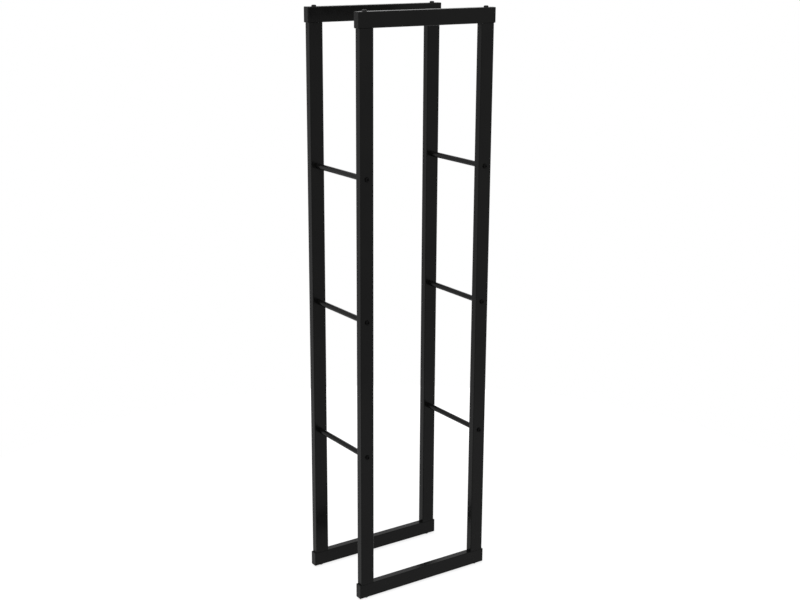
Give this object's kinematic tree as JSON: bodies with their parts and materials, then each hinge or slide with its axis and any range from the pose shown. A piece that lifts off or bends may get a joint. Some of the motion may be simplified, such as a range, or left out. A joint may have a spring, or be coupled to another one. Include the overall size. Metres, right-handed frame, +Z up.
{
  "type": "firewood log rack",
  "caption": "Tall open firewood rack: front and rear frames of black rectangular steel tube, bolted at the corners and tied by round cross rods, with plastic caps in the rail ends.",
  "frame": {"origin": "middle of the footprint, on the floor under the lower bolt heads", "axes": "+X to the right across the front, +Y from the front frame to the rear frame, +Z up"},
  "size_m": [0.4, 0.256, 1.5],
  "materials": {
    "powder_coated_tube": "satin black powder coat on steel tube",
    "powder_coated_rod": "satin black powder coat on round steel tube",
    "cap_plastic": "moulded black polyethylene, fine matt grain",
    "blackened_bolt": "black zinc plated steel, matt",
    "zinc_plated_steel": "bright zinc plated steel"
  },
  "bodies": {
    "root": {"front_left_upright": "powder_coated_tube", "front_right_upright": "powder_coated_tube", "rear_left_upright": "powder_coated_tube", "rear_right_upright": "powder_coated_tube", "front_top_rail": "powder_coated_tube", "front_bottom_rail": "powder_coated_tube", "rear_top_rail": "powder_coated_tube", "rear_bottom_rail": "powder_coated_tube", "left_lower_rod": "powder_coated_rod", "left_middle_rod": "powder_coated_rod", "left_upper_rod": "powder_coated_rod", "right_lower_rod": "powder_coated_rod", "right_middle_rod": "powder_coated_rod", "right_upper_rod": "powder_coated_rod", "front_top_left_cap": "cap_plastic", "front_top_right_cap": "cap_plastic", "front_bottom_left_cap": "cap_plastic", "front_bottom_right_cap": "cap_plastic", "rear_top_left_cap": "cap_plastic", "rear_top_right_cap": "cap_plastic", "rear_bottom_left_cap": "cap_plastic", "rear_bottom_right_cap": "cap_plastic", "top_rail_bolts": "blackened_bolt", "bottom_rail_bolts": "blackened_bolt", "front_rod_bolts": "blackened_bolt", "rear_rod_bolts": "blackened_bolt", "front_left_top_plate": "zinc_plated_steel", "front_left_bottom_plate": "zinc_plated_steel", "front_right_top_plate": "zinc_plated_steel", "front_right_bottom_plate": "zinc_plated_steel", "rear_left_top_plate": "zinc_plated_steel", "rear_left_bottom_plate": "zinc_plated_steel", "rear_right_top_plate": "zinc_plated_steel", "rear_right_bottom_plate": "zinc_plated_steel", "top_weld_nuts": "zinc_plated_steel", "bottom_weld_nuts": "zinc_plated_steel", "front_rod_nuts": "zinc_plated_steel", "rear_rod_nuts": "zinc_plated_steel"}
  },
  "joints": []
}
